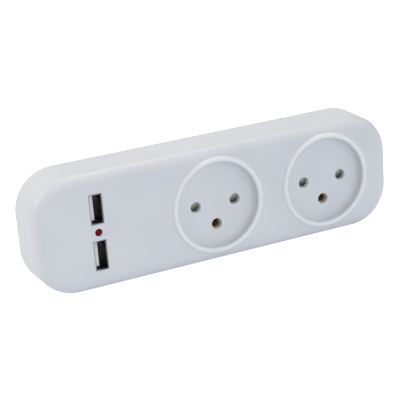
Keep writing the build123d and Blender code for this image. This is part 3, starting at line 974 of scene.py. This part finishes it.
pin_low, pin_high = box_of("earth_pin")
pin_radius = mounts["plug_earth_pin"]["dims"]["r_mm"]
collar_y = pin_low.y + collar_height
pin_profile = [(0, pin_low.y), (collar_radius, pin_low.y), (collar_radius, collar_y), (neck_radius, collar_y),
               (neck_radius, 0), (pin_radius - pin_easing, 0), (pin_radius, pin_easing)]
for turn in quarter_turns(tip_steps):
    pin_profile.append((tip_flat + (pin_radius - tip_flat) * math.cos(turn),
                        pin_high.y - tip_length * (1 - math.sin(turn))))
pin_profile.append((0, pin_high.y))
nickel = worked_metal("nickel_plate", nickel_tone, nickel_shade, nickel_marks, gloss=0.16)
pin_pattern = piece_from(turned(pin_profile, pin_steps), "pin_pattern", nickel)
pin_places = [[share / mm for share in mounts["plug_" + pin + "_pin"]["pos_m"]] for pin in pin_names]
pins = set_out("plug_pins", pin_pattern, [(x, 0, z) for x, y, z in pin_places], nickel)
fit(pins, "housing", "pin_nickel", *(pin + "_pin" for pin in pin_names))

# Rear housing
# The back is a shallow tub in the same white plastic, with the plug's round boss and four screw wells.
# It keeps the solid's posts and pillars inside. Its outer skin is laid again, as on the front.
back_edge = 6.0
parting_groove = 0.3
groove_steps = 4
back_patch = 5.0         # how far in from the sides the lofted edge reaches
back_insets = (5.3, 5.6, 5.9, 6.2, 7.0)               # rows of points from there on, where the edge ends
boss_radius = 18.5
boss_height = 4.0
boss_edge = 1.0
boss_edge_steps = 8
boss_foot = 0.5
boss_foot_steps = 5
well_depth = 3.4
well_clear = 7.8         # the rows of points keep this far from a point of the well's rim
well_easing = 0.25


def lay_rear():
    """The rear housing: the inside of the solid, and a new outer skin from the parting line to the wells."""
    bm = solid_copy("rear_housing")
    back_y = -boss_height
    well_y = back_y - well_depth
    neck_y = back_y - wall
    peel(bm, back_y, (parting_y, well_y, neck_y))
    depth = back_y - parting_y

    def back_level(x, z):
        inset = outline_side(x - body_x, z, half_length, half_height, corner_radius)[2]
        return parting_y + edge_rise(inset, depth, back_edge)

    wells = []
    necks = []
    for rim in open_rims(bm):
        y = rim[0].co.y
        if abs(y - parting_y) < same_place:
            ways = true_rim(rim, corner_radius - parting_groove)
            steps = [(parting_groove * math.sin(turn), parting_y + parting_groove * (1 - math.cos(turn)))
                     for turn in quarter_turns(groove_steps)[1:]]
            profile = edge_profile(depth, back_edge, back_patch)
            steps += [(parting_groove - inset, parting_y + high)
                      for inset, high in profile if high > 2 * parting_groove]
            back_rim = carry_on(bm, rim, ways, steps)
            rounds = [(vert.co.x + parting_groove * way[0], vert.co.z + parting_groove * way[1], way)
                      for vert, way in zip(rim, ways)]
        elif abs(y - well_y) < same_place:
            steps = [(out, back_y - short) for out, short in quarter_round(well_easing)]
            wells.append(carry_on(bm, rim, true_rim(rim), steps))
        else:
            to_boss_end = (0.0, 0.0)
            necks.append(carry_on(bm, rim, true_rim(rim), [to_boss_end]))
    boss = [(boss_radius + boss_foot * (1 - math.sin(turn)), back_y + boss_foot * (1 - math.cos(turn)))
            for turn in quarter_turns(boss_foot_steps)]
    boss += [(boss_radius - out, -short) for out, short in quarter_round(boss_edge, boss_edge_steps)]
    rings = [flat_ring(bm, radius, y) for radius, y in boss]
    loft(bm, rings)
    patch(bm, rings[-1], necks)

    def is_clear(x, z):
        to_well = min(math.hypot(x - well[0].co.x, z - well[0].co.z) for well in wells)
        return to_well > well_clear and math.hypot(x, z) > boss_radius + 2 * boss_foot

    patch(bm, back_rim, [rings[0]] + wells, edge_rows(bm, rounds, back_insets, back_level, is_clear))
    return bm


rear = piece_from(lay_rear(), "rear_moulding", white_plastic)
fit(rear, "housing", "housing", "rear_housing")

# Housing screws
# Four self-tapping steel screws hold the halves together from the back, sunk in wells.
# Each has a domed head with a cross recess and a coarse thread that cuts into the front housing's boss.
screw_head_radius = 2.75
screw_head_height = 2.0
screw_head_round = 0.7
screw_core = 1.0
screw_thread = 0.25
screw_pitch = 1.3
screw_point = 1.6
screw_tip = 0.12
thread_steps = 24        # in one turn
thread_corners = 3
cross_half_length = 1.7
cross_half_width = 0.4
cross_depth = 1.1
cross_taper = 0.55
screw_steps = 48
zinc_tone = (0.5, 0.5, 0.52, 1)
zinc_shade = (0.38, 0.39, 0.41, 1)
zinc_marks = (1500.0, 3000.0, 1500.0)

screw_low, screw_high = box_of("housing_screws")
seat_y = screw_high.y - screw_head_height
screw_span = screw_high - screw_low - Vector((1, 0, 1)) * 2 * screw_head_radius


def screw_body():
    """Head and core of a screw that points to -y, its seat at y = 0."""
    length = seat_y - screw_low.y
    profile = [(screw_tip, -length), (screw_core, -length + screw_point), (screw_core, 0),
               (screw_head_radius, 0), (screw_head_radius, screw_head_height - screw_head_round)]
    profile += [(screw_head_radius - out, screw_head_height - short)
                for out, short in quarter_round(screw_head_round)[1:]]
    bm = bmesh.new()
    rings = [flat_ring(bm, radius, y, screw_steps) for radius, y in profile]
    loft(bm, rings)
    bm.faces.new(rings[0])
    long, short = cross_half_length, cross_half_width
    arm = [(long, -short), (long, short), (short, short)]
    outline = [(x * math.cos(turn) - z * math.sin(turn), x * math.sin(turn) + z * math.cos(turn))
               for turn in (0, math.pi / 2, math.pi, 3 * math.pi / 2) for x, z in arm]
    mouth = [bm.verts.new((x, screw_head_height, z)) for x, z in outline]
    bottom_y = screw_head_height - cross_depth
    bottom = [bm.verts.new((x * cross_taper, bottom_y, z * cross_taper)) for x, z in outline]
    lace(bm, mouth, bottom)
    bm.faces.new(bottom)
    patch(bm, rings[-1], [mouth])
    return bm


def screw_tree():
    """A thread wound on a given head and core, and the whole screw set out at four corners."""
    inputs = (("Screw", "Geometry"), ("Core", "Float"), ("Height", "Float"), ("Turns", "Float"),
              ("Threaded", "Float"), ("Middle", "Vector"), ("Spacing X", "Float"), ("Spacing Z", "Float"),
              ("Finish", "Material"))
    tree, given, result = new_tree("screws", inputs)
    quarter_turn = (math.pi / 2, 0, 0)
    spiral = add(tree, "GeometryNodeCurveSpiral", {
        "Resolution": thread_steps, "Rotations": given.outputs["Turns"],
        "Start Radius": given.outputs["Core"], "End Radius": given.outputs["Core"],
        "Height": given.outputs["Threaded"]}).outputs[0]
    ridge = add(tree, "GeometryNodeCurvePrimitiveCircle", {
        "Resolution": thread_corners, "Radius": given.outputs["Height"]}).outputs[0]
    thread = add(tree, "GeometryNodeCurveToMesh", {
        "Curve": spiral, "Profile Curve": ridge, "Fill Caps": True}).outputs[0]
    laid = add(tree, "GeometryNodeTransform", {"Geometry": thread, "Rotation": quarter_turn}).outputs[0]
    whole = add(tree, "GeometryNodeJoinGeometry")
    tree.links.new(given.outputs["Screw"], whole.inputs[0])
    tree.links.new(laid, whole.inputs[0])
    grid = add(tree, "GeometryNodeMeshGrid", {
        "Size X": given.outputs["Spacing X"], "Size Y": given.outputs["Spacing Z"],
        "Vertices X": 2, "Vertices Y": 2}).outputs["Mesh"]
    corners = add(tree, "GeometryNodeTransform", {
        "Geometry": grid, "Translation": given.outputs["Middle"], "Rotation": quarter_turn}).outputs[0]
    copy_out(tree, given, result, corners, whole.outputs[0])
    return tree


zinc_steel = worked_metal("zinc_steel", zinc_tone, zinc_shade, zinc_marks, gloss=0.25)
screw_pattern = piece_from(screw_body(), "screw_pattern", zinc_steel)
threaded = seat_y - screw_low.y - screw_point
screw_middle = (screw_low + screw_high) / 2
screws = grow("case_screws", screw_pattern.data, screw_tree(), Core=screw_core * mm, Height=screw_thread * mm,
              Turns=threaded / screw_pitch, Threaded=threaded * mm,
              Middle=Vector((screw_middle.x, seat_y, screw_middle.z)) * mm,
              Spacing_X=screw_span.x * mm, Spacing_Z=screw_span.z * mm, Finish=zinc_steel)
bpy.data.objects.remove(screw_pattern)
fit(screws, "housing", "steel", "housing_screws")

# Floor, light and camera
# A white floor inside a cool studio tent, which is bright behind the object and above its front, dim between.
# A warm lamp shapes the left side and another the top. The camera stands at the photograph's angle.
floor_half = 3.0
floor_tone = (0.8, 0.83, 0.88, 1)
floor_shade = (0.78, 0.81, 0.86, 1)
under_light = 0.1        # of the glow that keeps the floor white, what reaches the object
front_way = Vector((0.3, -0.75, 0.6)).normalized()    # towards the tent's bright front
tent_levels = ((0.4, 0.74), (0.52, 0.1), (0.78, 0.1), (0.89, 1.03))   # place (0 behind, 1 front) and level
tent_colour = (0.93, 0.95, 1.0, 1)
view_turn = math.radians(-24.44)
view_rise = math.radians(18.72)
view_roll = math.radians(-4.62)
view_distance = 0.56856
view_target = Vector((-8.92, -31.7, 4.41)) * mm
view_lens = 118.95
view_sensor = 36
nearest_view = 0.01

floor_mesh = bpy.data.meshes.new("floor")
floor_z = front_low.z * mm
floor_corners = [(x * floor_half, y * floor_half, floor_z) for x, y in ((-1, -1), (1, -1), (1, 1), (-1, 1))]
floor_mesh.from_pydata(floor_corners, [], [(0, 1, 2, 3)])
floor = bpy.data.objects.new("floor", floor_mesh)
bpy.context.scene.collection.objects.link(floor)
floor_paper = moulded_plastic("floor_paper", floor_tone, floor_shade, grain=400.0, gloss=0.7,
                              Emission_Color=(1, 1, 1, 1))
paper = floor_paper.node_tree
seen = add(paper, "ShaderNodeLightPath").outputs["Is Camera Ray"]
glow_level = add(paper, "ShaderNodeMapRange", {"Value": seen, "To Min": under_light}).outputs[0]
paper.links.new(glow_level, paper.nodes["Principled BSDF"].inputs["Emission Strength"])
floor_mesh.materials.append(floor_paper)

world = bpy.data.worlds.new("studio")
bpy.context.scene.world = world
world.use_nodes = True
studio = world.node_tree
tent = studio.nodes["Background"]
tent.inputs["Color"].default_value = tent_colour
way = add(studio, "ShaderNodeTexCoord").outputs["Generated"]
facing = add(studio, "ShaderNodeVectorMath", {0: way, 1: front_way}, operation="DOT_PRODUCT").outputs["Value"]
share = add(studio, "ShaderNodeMapRange", {"Value": facing, "From Min": -1.0}).outputs[0]
levels = add(studio, "ShaderNodeValToRGB", {"Fac": share})
stops = levels.color_ramp.elements
for place, level in tent_levels:
    stops.new(place).color = (level, level, level, 1)
for own_stop in (0, -1):
    stops.remove(stops[own_stop])
studio.links.new(levels.outputs[0], tent.inputs["Strength"])
backdrop = add(studio, "ShaderNodeBackground", {"Color": (1, 1, 1, 1)}).outputs[0]
straight = add(studio, "ShaderNodeLightPath").outputs["Is Camera Ray"]
around = add(studio, "ShaderNodeMixShader", {0: straight, 1: tent.outputs[0], 2: backdrop}).outputs[0]
studio.links.new(around, studio.nodes["World Output"].inputs["Surface"])


def soft_light(name, place, size, power, colour):
    """A square lamp that faces the object. Its place and size are in metres, its power in watts."""
    lamp = bpy.data.lights.new(name, "AREA")
    lamp.energy = power
    lamp.size = size
    lamp.color = colour
    holder = bpy.data.objects.new(name, lamp)
    holder.location = place
    holder.rotation_euler = (-Vector(place)).to_track_quat("-Z", "Y").to_euler()
    bpy.context.scene.collection.objects.link(holder)


soft_light("key", place=(-1.0, 0.12, 0.7), size=0.7, power=5.2, colour=(1.0, 0.94, 0.87))
soft_light("top", place=(0.25, 0.2, 1.1), size=0.5, power=3.8, colour=(1.0, 0.96, 0.9))

view = bpy.data.cameras.new("camera")
view.lens = view_lens
view.sensor_width = view_sensor
view.clip_start = nearest_view
camera = bpy.data.objects.new("camera", view)
back = Vector((math.sin(view_turn) * math.cos(view_rise), -math.cos(view_turn) * math.cos(view_rise),
               math.sin(view_rise)))
level_right = Vector((math.cos(view_turn), math.sin(view_turn), 0))
level_up = back.cross(level_right)
right = math.cos(view_roll) * level_right + math.sin(view_roll) * level_up
up = math.cos(view_roll) * level_up - math.sin(view_roll) * level_right
axes = Matrix((right, up, back)).transposed().to_4x4()
camera.matrix_world = Matrix.Translation(view_target + view_distance * back) @ axes
bpy.context.scene.collection.objects.link(camera)
bpy.context.scene.camera = camera
bpy.context.scene.view_settings.view_transform = "Standard"
